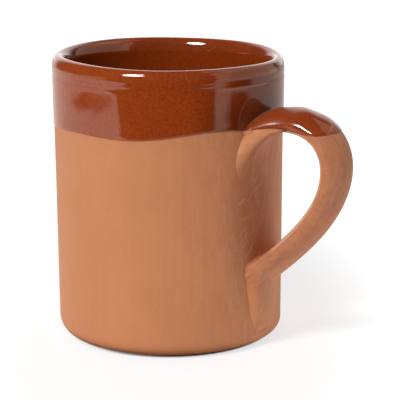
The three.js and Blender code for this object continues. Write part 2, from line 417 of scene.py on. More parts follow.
def strap_line():
    """The strap's centre line in the handle's plane, with the length along it and its slope.

    Two cubic curves meet at the bend, and a straight lead at each end goes on into the wall. The length
    counts from the upper root, and the slope is given at the middle of each step.
    """
    upper = np.array([wall_radius(UPPER_ROOT, 0), UPPER_ROOT])
    lower = np.array([wall_radius(LOWER_ROOT, 0), LOWER_ROOT])
    bend = np.array([REACH, BEND_HEIGHT])
    down = np.array([0, -1])
    line = np.concatenate([
        [upper - ray((SHOULDER[0], LEAD))],
        bezier(upper, upper + ray(SHOULDER), bend - BEND_ARM * down, bend),
        bezier(bend, bend + BACK_ARM * down, lower + ray(TAIL), lower)[1:],
        [lower - ray((TAIL[0], LEAD))],
    ])
    step = np.diff(line, axis=0)
    place = np.concatenate([[0], np.cumsum(np.hypot(*step.T))]) - LEAD
    slope = np.unwrap(np.arctan2(step[:, 1], step[:, 0]))
    middle = (place[1:] + place[:-1]) / 2
    return line, place, slope, middle


LINE, LINE_PLACE, LINE_SLOPE, LINE_MIDDLE = strap_line()
STRAP_LENGTH = LINE_PLACE[-1] - LEAD


def strap_point(place, turn, grow=0.0):
    """A point of the strap: its section, at an angle round it, carried along the centre line.

    The section is a rounded oblong, a superellipse in its own square, whose outer side is drawn up
    into a low dome and whose finger side is flat. It widens towards both roots.
    """
    x = np.interp(place, LINE_PLACE, LINE[:, 0])
    z = np.interp(place, LINE_PLACE, LINE[:, 1])
    slope = np.interp(place, LINE_MIDDLE, LINE_SLOPE)
    upper = fading(place, UPPER_FLARE)
    lower = fading(STRAP_LENGTH - place, LOWER_FLARE)
    width = STRAP_WIDTH + (UPPER_WIDTH - STRAP_WIDTH) * upper + (LOWER_WIDTH - STRAP_WIDTH) * lower
    half_width = width / 2 + grow
    half_thick = through(place / STRAP_LENGTH, STRAP_THICKNESS) / 2 + grow
    side, out = np.cos(turn), np.sin(turn)
    reach = (np.abs(side) ** SECTION_POWER + np.abs(out) ** SECTION_POWER) ** (-1 / SECTION_POWER)
    side, out = side * reach, out * reach
    bow = 1 - side ** 2
    inner = SECTION["inner"]
    outer = SECTION["outer"] - UPPER_DROP * fading(place, UPPER_DROP_LENGTH) + SECTION["dome"] * bow
    lift = half_thick * ((outer + inner) / 2 + out * (outer - inner) / 2)
    return np.stack([x - lift * np.sin(slope), half_width * side, z + lift * np.cos(slope)], -1)


def unroll(points):
    """Distance round the wall from the handle's plane, height, and distance off the wall."""
    angle = np.arctan2(points[..., 1], points[..., 0])
    off = np.hypot(points[..., 0], points[..., 1]) - wall_radius(points[..., 2], angle)
    return np.stack([angle * UNROLL, points[..., 2], off], -1)


def roll(places):
    """Back from unrolled places to points."""
    angle = places[..., 0] / UNROLL
    radius = wall_radius(places[..., 1], angle) + places[..., 2]
    return np.stack([radius * np.cos(angle), radius * np.sin(angle), places[..., 1]], -1)


def place_off_wall(turn, off, at_upper):
    """Length along the strap where its face stands a distance off the wall, by halving the interval."""
    near = np.full_like(turn, -LEAD if at_upper else STRAP_LENGTH + LEAD)
    far = np.full_like(turn, ROOT_SEARCH if at_upper else STRAP_LENGTH - ROOT_SEARCH)
    for _ in range(HALVINGS):
        middle = (near + far) / 2
        outside = unroll(strap_point(middle, turn))[..., 2] > off
        far = np.where(outside, middle, far)
        near = np.where(outside, near, middle)
    return (near + far) / 2


def root_fillet(turn, slip, at_upper):
    """Rows of the wiped clay from the wall to the strap, and the strap length where it ends.

    Across the rows run parabolas from the wall to the strap's side. The middle control point lies on the
    line of that side, close to the wall: the higher it lies, the steeper the edge of the wiped clay.
    """
    up = np.sin(turn) if at_upper else -np.sin(turn)
    under = (1 - up) / 2
    thinner = blend(1.0, slip["far"], (1 + np.cos(turn)) / 2)
    end = place_off_wall(turn, through(under, slip["lift"]) * thinner, at_upper)
    nudge = NUDGE if at_upper else -NUDGE
    top = unroll(strap_point(end, turn))
    way = top - unroll(strap_point(end - nudge, turn))
    edge = through(under, slip["edge"]) * thinner
    corner = top - way * ((top[:, 2] - edge) / way[:, 2])[:, None]
    foot = corner.copy()
    foot[:, 0] *= 1 + through(under, slip["spread"])
    foot[:, 1] += up * np.where(up > 0, slip["crease"], slip["below"])
    foot[:, 2] = 0
    t = np.linspace(0, 1, ROWS["fillet"])[:, None, None]
    rows = (1 - t) ** 2 * foot + 2 * t * (1 - t) * corner + t ** 2 * top
    return rows, end


def strap_body():
    """The strap from just inside the wall at one root to the other, closed by a fan at each end."""
    start = place_off_wall(TURNS, ANCHOR, True)
    stop = place_off_wall(TURNS, ANCHOR, False)
    share = np.linspace(0, 1, ROWS["strap"])[:, None]
    rings = strap_point(start + (stop - start) * share, TURNS)
    return capped(rings, rings[[0, -1]].mean(1))


def paint_edge_highlight(strap):
    """Marks the points along both edges of the strap's finger side, for the highlight painted there: a bell
    curve of the turn round it.
    """
    edge_highlight = sum(np.exp(-(((TURNS - edge) / HIGHLIGHT_WIDTH) ** 2)) for edge in HIGHLIGHT_EDGES)
    poles = np.zeros(2)
    marks = np.concatenate([np.tile(edge_highlight, ROWS["strap"]), poles])
    strap.data.attributes.new("edge_highlight", "FLOAT", "POINT").data.foreach_set("value", marks)


def slip_body(slip, at_upper):
    """A ring of wiped clay round a root.

    Its face runs from under the wall's face to the strap, and its back lies inside both.
    """
    rows, end = root_fillet(TURNS, slip, at_upper)
    share = np.linspace(0, 1, len(rows))[:, None]
    face = rows.copy()
    face[..., 2] += SUNK * (1 - np.clip(share / SUNK_SHARE, 0, 1))
    inside = unroll(strap_point(end, TURNS, -SLIP_DEPTH))
    deep = inside.copy()
    deep[:, 2] = ANCHOR
    under = rows[0].copy()
    under[:, 2] = ANCHOR / 2
    points = roll(np.concatenate([face, [inside, deep, under]]))
    count, columns = points.shape[:2]
    return points.reshape(-1, 3), grid_quads(count, columns, wrap_rows=True), NO_TRIANGLES


def wiped_pad(pad):
    """A pad of clay wiped down the wall: a low dome across, which thickens upwards into the root.

    Across, the dome is 1 - s^p, where p grows upwards, and a hollow term raises its sides into two lobes.
    Towards its upper end the pad leans, so that its thick part rises with the strap.
    """
    low, high = pad["ends"]
    hollow = pad["hollow"]
    share = np.linspace(0, 1, ROWS["pad"])[:, None]
    side = np.linspace(-1, 1, ACROSS_PAD)[None, :]
    power = pad["square"][0] + pad["square"][1] * share ** 3
    lobes = (1 - np.abs(side) ** power) * (1 + hollow * side ** 2)
    lobes /= (1 + hollow) ** 2 / (4 * hollow) if hollow else 1
    thick = sum(most * share ** steep for steep, most in pad["thickness"])
    off = SUNK + thick * lobes * blend(1.0, pad["far"], (1 + side) / 2)
    around = side * np.interp(share, np.linspace(0, 1, len(pad["half"])), pad["half"])
    level = low + (high - low) * share + 0 * off
    face = roll(np.stack([around, level + pad["lean"] * share ** 2 * off, off], -1))
    back = roll(np.stack([around, level, np.full_like(off, ANCHOR / 2)], -1))
    rings = np.concatenate([face, back[:, ::-1]], 1)
    return capped(rings, rings[[0, -1]].mean(1))


def shell_of_cells(face, back, cell):
    """A closed shell from two grids whose columns close on themselves.

    It has the chosen cells of each grid, and walls between the two round their edge.
    """
    rows, columns = face.shape[:2]
    count = rows * columns
    quads = grid_quads(rows, columns)
    chosen = cell.reshape(-1)
    front = quads[chosen]
    behind = front[:, ::-1] + count
    padded = np.pad(cell, ((1, 1), (0, 0)))
    neighbours = padded[:-2], np.roll(cell, -1, 1), padded[2:], np.roll(cell, 1, 1)
    walls = []
    for start, neighbour in enumerate(neighbours):
        edge = quads[chosen & ~neighbour.reshape(-1)]
        a, b = edge[:, start], edge[:, (start + 1) % 4]
        walls.append(np.stack([b, a, a + count, b + count], -1))
    used, numbers = np.unique(np.concatenate([front, behind, *walls]), return_inverse=True)
    points = np.concatenate([face.reshape(-1, 3), back.reshape(-1, 3)])[used]
    return points, numbers.reshape(-1, 4), NO_TRIANGLES


def handle_glaze():
    """Glaze on the handle: the skin of root and strap moved out by the coat's thickness above the dip line.

    Below the line the coat dives under the clay, and only the cells that reach the line are kept,
    closed by a back inside the clay.
    """
    turn = np.linspace(0, 2 * math.pi, AROUND_COAT, endpoint=False)
    root, end = root_fillet(turn, UPPER_SLIP, True)
    share = np.linspace(0, 1, ROWS["handle_coat"])[1:, None]
    strap = strap_point(end + (HANDLE_COAT_END - end) * share, turn)
    skin = np.concatenate([roll(root), strap])
    along = np.gradient(skin, axis=0)
    around = (np.roll(skin, -1, 1) - np.roll(skin, 1, 1)) / 2
    out = np.cross(around, along)
    out /= np.linalg.norm(out, axis=-1, keepdims=True)
    out *= np.sign(np.einsum("ijk,ijk->", out[len(root):], strap - strap.mean(1, keepdims=True)))

    x, y, z = np.moveaxis(skin, -1, 0)
    wave = np.cos(2 * math.pi * (x - HANDLE_DIP_CREST) / HANDLE_DIP_LENGTH)
    above = z - HANDLE_DIP - HANDLE_DIP_WAVE * wave
    sway = POOLED_SWAY * np.sin(y * POOLED_TURNS[1])
    pooled = POOLED * np.sin(x * POOLED_TURNS[0] + sway) * np.clip(above / POOLED_RISE, 0, 1)
    dive = DIVE * np.maximum(above, -DIVE_HEIGHT)
    run_in = np.clip(np.arange(len(skin)) / RUN_IN_ROWS, 0, 1)[:, None]
    thick = np.where(above > 0, glaze_thickness(above) + pooled, dive) - RUN_IN_DEPTH * (1 - run_in)
    face = skin + thick[..., None] * out
    back = skin - 2 * BURIED * out
    kept = above > -KEPT_BELOW
    cell = kept[:-1] | kept[1:]
    return shell_of_cells(face, back, cell | np.roll(cell, -1, 1))


# Materials. Sizes, heights and distances are in millimetres

FOOT_SHADE_HEIGHTS = (0.5, 0.9)  # heights over which the painted shade on the foot's lowest edge ends
HANDLE_SIDE = (20.0, 44.0)  # distances towards the handle over which the clay turns blotchy
ON_STRAP = (44.0, 48.0)
SHADE_AND_STROKES = (39.0, -9.0, 46.0)  # middle of the wall between the roots, where shade is painted darker on the clay and pale brush strokes lie
SHADE_AND_STROKES_TALL = 2.4  # its height to its width
SHADE_AND_STROKES_REACH = (3.0, 15.5)
STROKE_SIZE = (13.0, 2.2, 11.0)
STROKE_SLANT = -42.0  # degrees
STROKE_RELIEF = 0.6  # to that of the wipe marks
GROG_RELIEF = 0.35
SPECK_SIZE = (0.05, 0.12)  # shares of the space between specks
SPECK_RARE = 0.6  # only spaces with a random tone above this have one

ON_CUP = (39.6, 40.0)  # distances from the axis where the cup's coat ends and the handle's begins
SHADED_SIDE = (0.985, -0.174, 0.0)  # side of the cup, towards the handle, where the glaze is painted darker with shade
SHADED_FACING = (0.77, 1.0)  # how squarely a place faces that side
SHADED_HEIGHTS = (81.0, 87.0)
SHADED_ABOVE = 0.5  # share of that painted shade left above them
INSIDE_SHADE_RADII = (35.0, 37.0)  # distances from the axis where the painted shade inside the cup ends
# how much painted shade the inside of the cup gets
INSIDE_SHADE = 0.3
SATIN = (50.0, 57.0)  # distances from the axis over which the handle's coat turns glossy
SATIN_ROUGHNESS = 0.34
GLOSS_ROUGHNESS = 0.06
STREAKS = 0.35  # relief of the streaks on the handle, to that of the glaze's soft skin
LIP_HEIGHTS = (92.0, 94.0)
LIP_OUTWARDS = (36.8, 37.8)
LIP_RINGS = 9.0  # relief of the fine rings on the lip, to that skin
RELIEF = {"Strength": 0.25, "Distance": 0.1 * MM}

MATH = "ShaderNodeMath"
VECTOR_MATH = "ShaderNodeVectorMath"
MAP_RANGE = "ShaderNodeMapRange"
NOISE = "ShaderNodeTexNoise"


def linear(colour):
    """An sRGB hex colour as linear red, green, blue and full alpha."""
    channels = [int(colour[i:i + 2], 16) / 255 for i in (1, 3, 5)]
    return [c / 12.92 if c <= 0.04045 else ((c + 0.055) / 1.055) ** 2.4 for c in channels] + [1.0]


def add_node(tree, kind, inputs=None, **settings):
    """Adds a node with its settings. Each input, by name or number, takes a value, or a socket or node."""
    node = tree.nodes.new(kind)
    for name, value in settings.items():
        setattr(node, name, value)
    for name, value in (inputs or {}).items():
        if isinstance(value, bpy.types.Node):
            value = next(socket for socket in value.outputs if socket.enabled)
        if isinstance(value, bpy.types.NodeSocket):
            tree.links.new(value, node.inputs[name])
        else:
            node.inputs[name].default_value = value
    return node


def per_mm(size):
    """Texture scale for features of a size in millimetres, on coordinates in metres."""
    return 1 / (size * MM)


def new_material(name):
    """An empty node material with its output."""
    material = bpy.data.materials.new(name)
    material.use_nodes = True
    tree = material.node_tree
    tree.nodes.clear()
    return material, tree, tree.nodes.new("ShaderNodeOutputMaterial")


def bare_terracotta():
    """Unglazed red earthenware, wiped with a wet sponge.

    Matt and faintly mottled, with fine grog. The wipe marks run down the wall. Round the handle the clay is
    blotchy and drawn lengthwise, with a few dark specks, and a highlight is painted along both edges of
    the strap's finger side. Between the roots the wall is painted darker with shade, and pale slanting
    brush strokes cross it. The foot's lowest edge is painted dark with shade.
    """
    material, tree, output = new_material("unglazed_terracotta")
    spot = add_node(tree, "ShaderNodeTexCoord").outputs["Object"]
    mottle = add_node(tree, NOISE, {"Vector": spot, "Scale": per_mm(16), "Detail": 3.0})
    grog = add_node(tree, NOISE, {"Vector": spot, "Scale": per_mm(0.7), "Detail": 2.0})
    pitted = add_node(tree, NOISE, {"Vector": spot, "Scale": per_mm(1.7), "Detail": 4.0})
    upright = add_node(tree, "ShaderNodeMapping", {
        "Vector": spot, "Scale": (per_mm(1.6), per_mm(1.6), per_mm(34))})
    wiped = add_node(tree, NOISE, {"Vector": upright, "Scale": 1.0, "Detail": 2.0})
    lengthwise = add_node(tree, "ShaderNodeMapping", {
        "Vector": spot, "Scale": (per_mm(7), per_mm(1.7), per_mm(7))})
    drawn = add_node(tree, NOISE, {"Vector": lengthwise, "Scale": 1.0, "Detail": 4.0, "Roughness": 0.65})
    slanting = add_node(tree, "ShaderNodeMapping", {
        "Vector": spot, "Rotation": (math.radians(STROKE_SLANT), 0, 0),
        "Scale": [size * MM for size in STROKE_SIZE]}, vector_type="TEXTURE")
    strokes = add_node(tree, NOISE, {"Vector": slanting, "Scale": 1.0, "Detail": 4.0, "Distortion": 2.2})
    cells = add_node(tree, "ShaderNodeTexVoronoi", {"Vector": spot, "Scale": per_mm(5)})

    axes = add_node(tree, "ShaderNodeSeparateXYZ", {0: spot})
    outwards, height = axes.outputs["X"], axes.outputs["Z"]
    squat = (1.0, 1.0, 1 / SHADE_AND_STROKES_TALL)
    squat_spot = add_node(tree, VECTOR_MATH, {0: spot, 1: squat}, operation="MULTIPLY")
    squat_middle = [c * s * MM for c, s in zip(SHADE_AND_STROKES, squat)]
    away = add_node(tree, VECTOR_MATH, {0: squat_spot, 1: squat_middle}, operation="DISTANCE")
    places = (
        (height, FOOT_SHADE_HEIGHTS, 1.0, 0.0, "LINEAR"),
        (outwards, HANDLE_SIDE, 0.0, 1.0, "LINEAR"),
        (outwards, ON_STRAP, 0.0, 1.0, "LINEAR"),
        (away.outputs["Value"], SHADE_AND_STROKES_REACH, 1.0, 0.0, "SMOOTHSTEP"),
    )
    foot_shade, handle_side, on_strap, shade_and_strokes = (
        add_node(tree, MAP_RANGE, {
            "Value": value, "From Min": start * MM, "From Max": stop * MM, "To Min": first, "To Max": last},
            interpolation_type=kind)
        for value, (start, stop), first, last, kind in places
    )
    edge_highlight = add_node(tree, "ShaderNodeAttribute", attribute_name="edge_highlight").outputs["Fac"]
    speck = add_node(tree, MAP_RANGE, {
        "Value": cells.outputs["Distance"], "From Min": SPECK_SIZE[0], "From Max": SPECK_SIZE[1],
        "To Min": 1.0, "To Max": 0.0})
    rare = add_node(tree, MATH, {0: cells.outputs["Color"], 1: SPECK_RARE}, operation="GREATER_THAN")
    rare_on_strap = add_node(tree, MATH, {0: rare, 1: on_strap}, operation="MULTIPLY")

    tone = add_node(tree, "ShaderNodeMix", {
        0: mottle, "A": linear("#C67F52"), "B": linear("#D38C5E")}, data_type="RGBA")
    # Pattern, where it starts and is full, how much it covers, where it lies, and its colour
    washes = (
        (wiped, 0.45, 0.75, 0.12, None, "#B06C48"),
        (grog, 0.55, 0.80, 0.25, None, "#A8643E"),
        # painted shade on the wall between the roots, under the handle
        (shade_and_strokes, 0.0, 1.0, 0.45, None, "#94502E"),
        (drawn, 0.50, 0.75, 0.45, handle_side, "#D9A183"),
        (drawn, 0.50, 0.25, 0.45, handle_side, "#A25C40"),
        (strokes, 0.54, 0.75, 0.45, shade_and_strokes, "#DCA680"),
        # painted highlight along both edges of the strap's finger side
        (edge_highlight, 0.0, 1.0, 0.85, on_strap, "#F0CCA0"),
        (on_strap, 0.0, 1.0, 0.26, None, "#9A5244"),
        (pitted, 0.52, 0.72, 0.26, on_strap, "#874A36"),
        # painted shade on the foot's lowest edge
        (foot_shade, 0.0, 1.0, 0.7, None, "#3A1A10"),
        (speck, 0.0, 1.0, 0.55, rare_on_strap, "#6E3A22"),
    )
    for pattern, start, full, most, where, colour in washes:
        share = add_node(tree, MAP_RANGE, {
            "Value": pattern, "From Min": start, "From Max": full, "To Min": 0.0, "To Max": most})
        if where:
            share = add_node(tree, MATH, {0: share, 1: where}, operation="MULTIPLY")
        tone = add_node(tree, "ShaderNodeMix", {
            0: share, "A": tone, "B": linear(colour)}, data_type="RGBA")

    faint = add_node(tree, MATH, {0: shade_and_strokes, 1: STROKE_RELIEF}, operation="MULTIPLY")
    relief = wiped
    for pattern, where in ((grog, GROG_RELIEF), (drawn, handle_side), (strokes, faint)):
        relief = add_node(tree, MATH, {0: pattern, 1: where, 2: relief}, operation="MULTIPLY_ADD")
    bump = add_node(tree, "ShaderNodeBump", {"Height": relief, **RELIEF})
    surface = add_node(tree, "ShaderNodeBsdfPrincipled", {
        "Base Color": tone, "Roughness": 0.6, "IOR": 1.45, "Normal": bump})
    tree.links.new(surface.outputs[0], output.inputs["Surface"])
    return material


def brown_glaze():
    """Glossy brown glaze over red clay.

    A deep, clear brown with a soft mottle and a fine speckle from the clay below, painted darker with shade
    on the side towards the handle and inside the cup, and with a faintly uneven, mirror-like face. It is
    satin and streaked lengthwise at the handle's root, and fine rings run round the lip. The speckle is
    drawn coarser than the real one, so that it shows.
    """
    material, tree, output = new_material("brown_earthenware_glaze")
    spot = add_node(tree, "ShaderNodeTexCoord").outputs["Object"]
    mottle = add_node(tree, NOISE, {"Vector": spot, "Scale": per_mm(11), "Detail": 4.0})
    speckle = add_node(tree, NOISE, {"Vector": spot, "Scale": per_mm(0.8), "Detail": 2.0, "Roughness": 0.6})
    height = add_node(tree, "ShaderNodeSeparateXYZ", {0: spot}).outputs["Z"]
    flat = add_node(tree, VECTOR_MATH, {0: spot, 1: (1.0, 1.0, 0.0)}, operation="MULTIPLY")
    radius = add_node(tree, VECTOR_MATH, {0: flat}, operation="LENGTH").outputs["Value"]
    places = (
        (radius, ON_CUP, 1.0, 0.0),
        (height, SHADED_HEIGHTS, 1.0, SHADED_ABOVE),
        (radius, INSIDE_SHADE_RADII, INSIDE_SHADE, 0.0),
        (radius, SATIN, SATIN_ROUGHNESS, GLOSS_ROUGHNESS),
        (height, LIP_HEIGHTS, 0.0, LIP_RINGS),
        (radius, LIP_OUTWARDS, 0.0, 1.0),
    )
    on_cup, shade_below, lining, satin, near_rim, outside = (
        add_node(tree, MAP_RANGE, {
            "Value": value, "From Min": start * MM, "From Max": stop * MM, "To Min": first, "To Max": last})
        for value, (start, stop), first, last in places
    )

    outwards = add_node(tree, VECTOR_MATH, {0: flat}, operation="NORMALIZE")
    facing = add_node(tree, VECTOR_MATH, {0: outwards, 1: SHADED_SIDE}, operation="DOT_PRODUCT")
    shaded_side = add_node(tree, MAP_RANGE, {
        "Value": facing.outputs["Value"], "From Min": SHADED_FACING[0], "From Max": SHADED_FACING[1]},
        interpolation_type="SMOOTHSTEP")
    shaded_side = add_node(tree, MATH, {0: shaded_side, 1: on_cup}, operation="MULTIPLY")
    # painted shade of the glaze, on the side towards the handle and inside the cup
    thick = add_node(tree, MATH, {
        0: shaded_side, 1: shade_below, 2: lining}, operation="MULTIPLY_ADD", use_clamp=True)

    tone = add_node(tree, "ShaderNodeMix", {
        0: mottle, "A": linear("#8C370F"), "B": linear("#9E4113")}, data_type="RGBA")
    # Pattern, where it starts and is full, how much it covers, and its colour
    washes = (
        (speckle, 0.5, 0.3, 0.35, "#6C2507"),
        (speckle, 0.5, 0.7, 0.28, "#B8551D"),
        # painted shade: on the side towards the handle, and inside the cup
        (thick, 0.0, 1.0, 1.0, "#6E2808"),
    )
    for pattern, start, full, most, colour in washes:
        share = add_node(tree, MAP_RANGE, {
            "Value": pattern, "From Min": start, "From Max": full, "To Min": 0.0, "To Max": most})
        tone = add_node(tree, "ShaderNodeMix", {
            0: share, "A": tone, "B": linear(colour)}, data_type="RGBA")

    roughness = add_node(tree, "ShaderNodeMix", {0: on_cup, "A": satin, "B": GLOSS_ROUGHNESS})
    skin = add_node(tree, NOISE, {"Vector": spot, "Scale": per_mm(7), "Detail": 1.0})
    lengthwise = add_node(tree, "ShaderNodeMapping", {
        "Vector": spot, "Scale": (per_mm(9), per_mm(1.4), per_mm(5))})
    streaks = add_node(tree, NOISE, {"Vector": lengthwise, "Scale": 1.0, "Detail": 2.0})
    on_handle = add_node(tree, MATH, {0: on_cup, 1: -STREAKS, 2: STREAKS}, operation="MULTIPLY_ADD")
    level = add_node(tree, "ShaderNodeMapping", {
        "Vector": spot, "Scale": (per_mm(26), per_mm(26), per_mm(0.9))})
    rings = add_node(tree, NOISE, {"Vector": level, "Scale": 1.0, "Detail": 1.0})
    on_lip = add_node(tree, MATH, {0: near_rim, 1: outside}, operation="MULTIPLY")
    for pattern, where in ((streaks, on_handle), (rings, on_lip)):
        skin = add_node(tree, MATH, {0: pattern, 1: where, 2: skin}, operation="MULTIPLY_ADD")
    bump = add_node(tree, "ShaderNodeBump", {"Height": skin, **RELIEF})
    surface = add_node(tree, "ShaderNodeBsdfPrincipled", {
        "Base Color": tone, "Roughness": roughness, "IOR": 1.55, "Normal": bump})
    tree.links.new(surface.outputs[0], output.inputs["Surface"])
    return material


# The mug

clay = bare_terracotta()
glaze = brown_glaze()
upper_root = joined(slip_body(UPPER_SLIP, True), wiped_pad(UPPER_PAD))
lower_root = joined(slip_body(LOWER_SLIP, False), wiped_pad(LOWER_PAD))

make_piece("clay_cup", clay_cup(), clay, ["thrown_cup"])
strap_handle = make_piece("strap_handle", strap_body(), clay, ["pulled_handle"])
paint_edge_highlight(strap_handle)
make_piece("upper_root_clay", upper_root, clay, ["upper_root_slip"])
make_piece("lower_root_clay", lower_root, clay, ["lower_root_slip"])
make_piece("cup_glaze", cup_glaze(), glaze, ["glaze_band", "glaze_lining"])
make_piece("handle_glaze_coat", handle_glaze(), glaze, ["handle_glaze"])


# Camera

CAMERA_PLACE = (342.6, -528.4, 196.0)  # millimetres
CAMERA_TURN = 32.0  # degrees from the -Y side towards the handle
CAMERA_PITCH = 13.44  # degrees down
CAMERA_ROLL = -0.31
CAMERA_LENS = 168.96  # millimetres
CAMERA_SENSOR = 36.0
TOWARDS_CAMERA = (math.sin(math.radians(CAMERA_TURN)), -math.cos(math.radians(CAMERA_TURN)), 0.0)
TO_THE_RIGHT = (math.cos(math.radians(CAMERA_TURN)), math.sin(math.radians(CAMERA_TURN)), 0.0)

camera_data = bpy.data.cameras.new("camera")
camera_data.lens = CAMERA_LENS
camera_data.sensor_width = CAMERA_SENSOR
camera_data.clip_start = 0.01
camera = bpy.data.objects.new("camera", camera_data)
camera.matrix_world = (
    Matrix.Translation([c * MM for c in CAMERA_PLACE])
    @ Matrix.Rotation(math.radians(CAMERA_TURN), 4, "Z")
    @ Matrix.Rotation(math.radians(90 - CAMERA_PITCH), 4, "X")
    @ Matrix.Rotation(math.radians(CAMERA_ROLL), 4, "Z")
)
bpy.context.scene.collection.objects.link(camera)
bpy.context.scene.camera = camera


# Floor. The table is white, has two dark gaps, and ends in the dark in front of the mug, at two straight
# edges. Bearings are in degrees from the camera as seen from the mug, + to its right; distances in metres
FLOOR_SIZE = 4.0
FLOOR_COLOURS = {"white": "#EEEEEE", "dark": "#303030", "seen": "#9A9A9A", "under_foot": "#8A4A30"}
FLOOR_GLOW = {"near": 0.722, "far": 1.0, "distances": (0.046, 0.10), "depth": 0.35}  # leaves the shadow
TABLE_EDGES = ((0.171, 0.393), (0.241, -0.148))  # distance ahead, and slope to the right
TABLE_EDGE_SOFT = 0.005
TABLE_EDGE_END = (44, 46)  # bearings over which the dark ends
LEFT_GAP = {"bearing": (-80, 26), "distance": (0.466, 0.021)}  # middles and half widths
RIGHT_GAP = {"bearing": (71.5, 15.5), "distance": (0.37, 0.135)}
GAP_EDGE = (0.8, 1.2)  # shares of the half width over which a gap ends
UNEVEN = {"size": 120, "reach": 0.045}  # how the edges wander: size in millimetres, reach in metres
CONTACT_SHADE = (0.0375, 0.040)  # distances over which the painted contact shade close round the foot ends
# Line of shade that shows under the foot's edge, and how white it stays on the left and right
UNDER_FOOT = {"radius": (0.0334, 0.0348), "bearings": (-45, 20), "left": 0.97, "right": 0.14}
WARM = "#FFE0C8"  # what shines back from the room
MIRROR_GLOW = (0.58, 0.28)  # left and right, in reflections
MIRROR_SWING = 1.0  # radians to each side over which that changes
BOUNCE = 0.56  # light from the right of the table
BOUNCE_BEARINGS = (12, 66)


def dark_places(tree, bearing, distance, ahead, aside):
    """How dark the table is: full past both straight edges up to a bearing, and in two oval gaps."""
    dark = add_node(tree, MAP_RANGE, {
        "Value": bearing, "From Min": math.radians(TABLE_EDGE_END[0]),
        "From Max": math.radians(TABLE_EDGE_END[1]), "To Min": 1.0, "To Max": 0.0})
    for offset, slope in TABLE_EDGES:
        across = add_node(tree, MATH, {0: aside, 1: slope, 2: ahead}, operation="MULTIPLY_ADD")
        beyond = add_node(tree, MAP_RANGE, {
            "Value": across, "From Min": offset - TABLE_EDGE_SOFT, "From Max": offset + TABLE_EDGE_SOFT})
        dark = add_node(tree, MATH, {0: dark, 1: beyond}, operation="MULTIPLY")
    for gap in (LEFT_GAP, RIGHT_GAP):
        (middle, half), (away, reach) = gap["bearing"], gap["distance"]
        across = add_node(tree, MATH, {
            0: bearing, 1: 1 / math.radians(half), 2: -middle / half}, operation="MULTIPLY_ADD")
        along = add_node(tree, MATH, {
            0: distance, 1: 1 / reach, 2: -away / reach}, operation="MULTIPLY_ADD")
        place = add_node(tree, "ShaderNodeCombineXYZ", {0: across, 1: along})
        oval = add_node(tree, VECTOR_MATH, {0: place}, operation="LENGTH").outputs["Value"]
        inside = add_node(tree, MAP_RANGE, {
            "Value": oval, "From Min": GAP_EDGE[0], "From Max": GAP_EDGE[1], "To Min": 1.0, "To Max": 0.0})
        dark = add_node(tree, MATH, {0: dark, 1: inside}, operation="MAXIMUM")
    return dark


